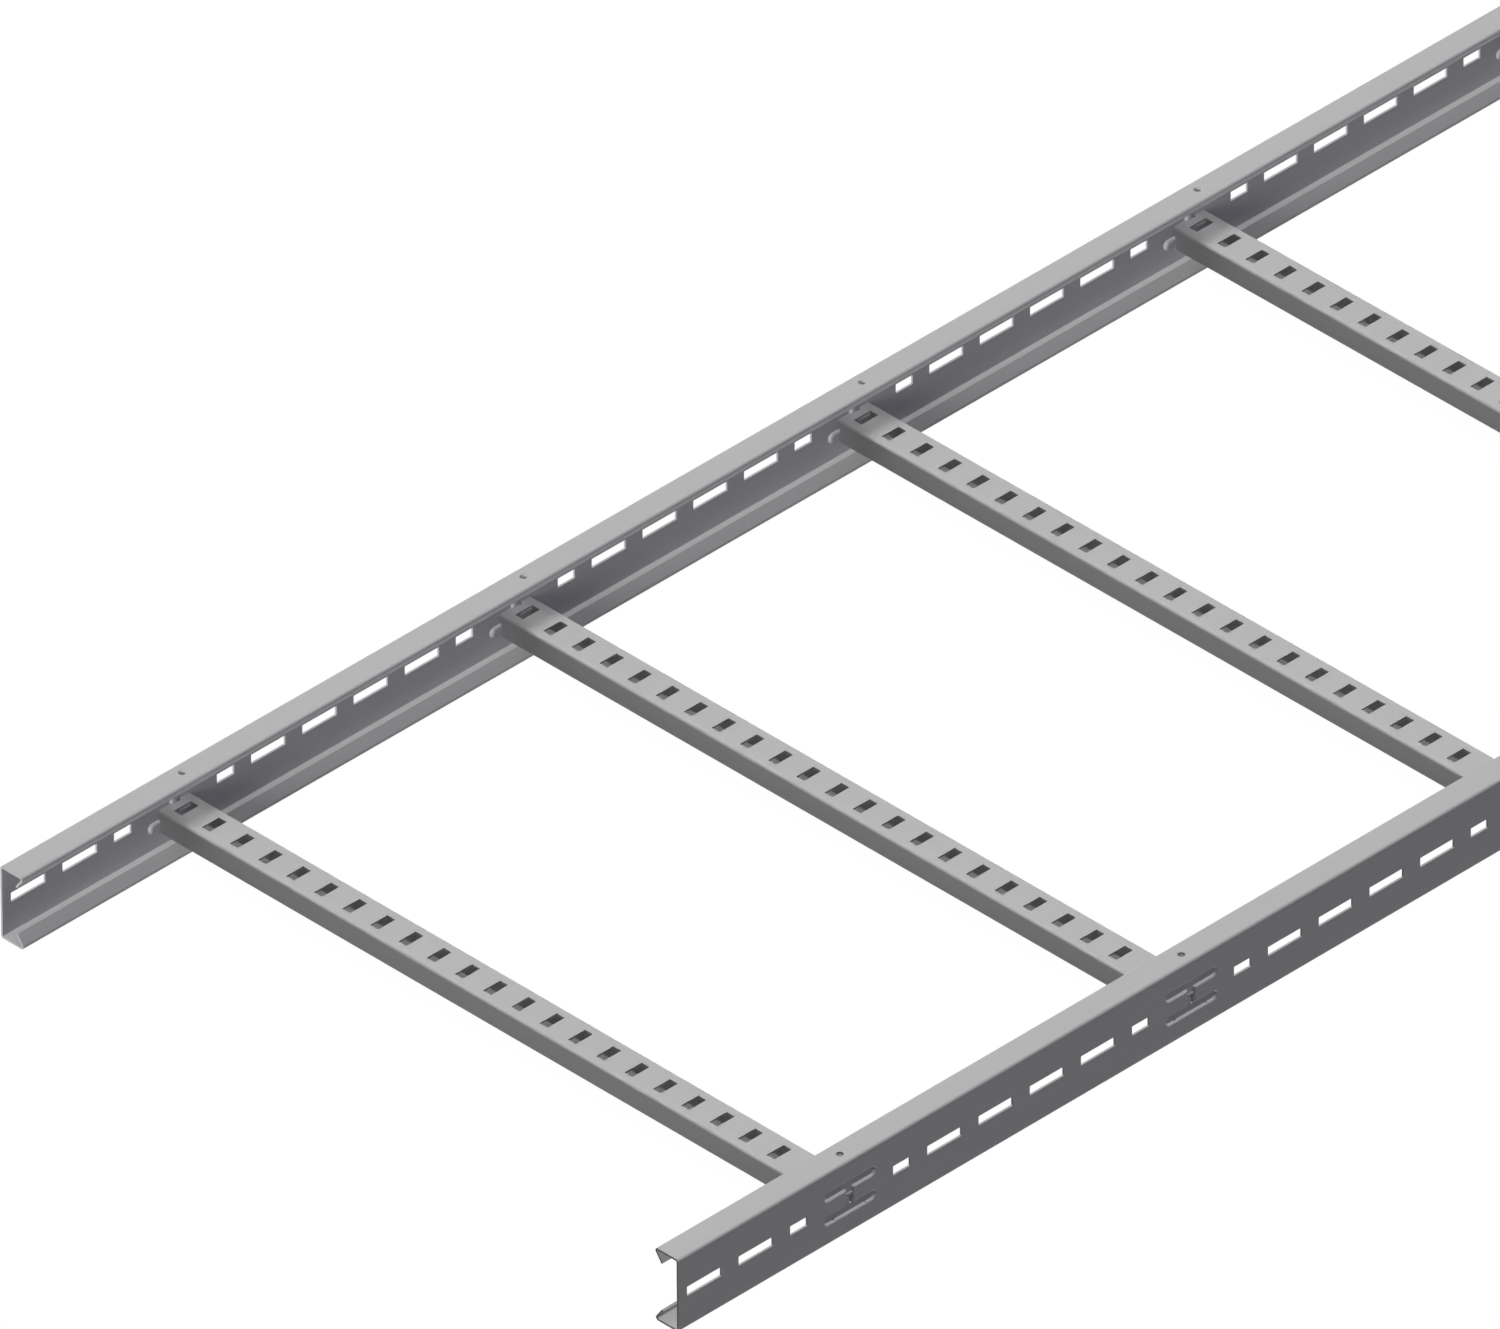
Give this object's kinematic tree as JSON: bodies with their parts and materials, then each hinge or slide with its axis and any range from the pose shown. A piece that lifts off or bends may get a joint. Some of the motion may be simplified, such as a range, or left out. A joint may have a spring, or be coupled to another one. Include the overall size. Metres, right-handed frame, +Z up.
{
  "type": "cable ladder section",
  "caption": "Straight steel cable ladder section with lipped channel side rails, slotted webs and slotted channel rungs press-jointed between them.",
  "frame": {"origin": "middle of the section's length and width, at the level of the rails' undersides", "axes": "+X along the rails, +Y across them, +Z up with the rungs' slotted faces up and their open sides down"},
  "size_m": [3, 0.6, 0.055],
  "materials": {
    "zinc_steel": "hot-dip galvanised, matt"
  },
  "bodies": {
    "root": {"side_rail_left": "zinc_steel", "side_rail_right": "zinc_steel", "rung_01": "zinc_steel", "rung_02": "zinc_steel", "rung_03": "zinc_steel", "rung_04": "zinc_steel", "rung_05": "zinc_steel", "rung_06": "zinc_steel", "rung_07": "zinc_steel", "rung_08": "zinc_steel", "rung_09": "zinc_steel", "rung_10": "zinc_steel"}
  },
  "joints": []
}
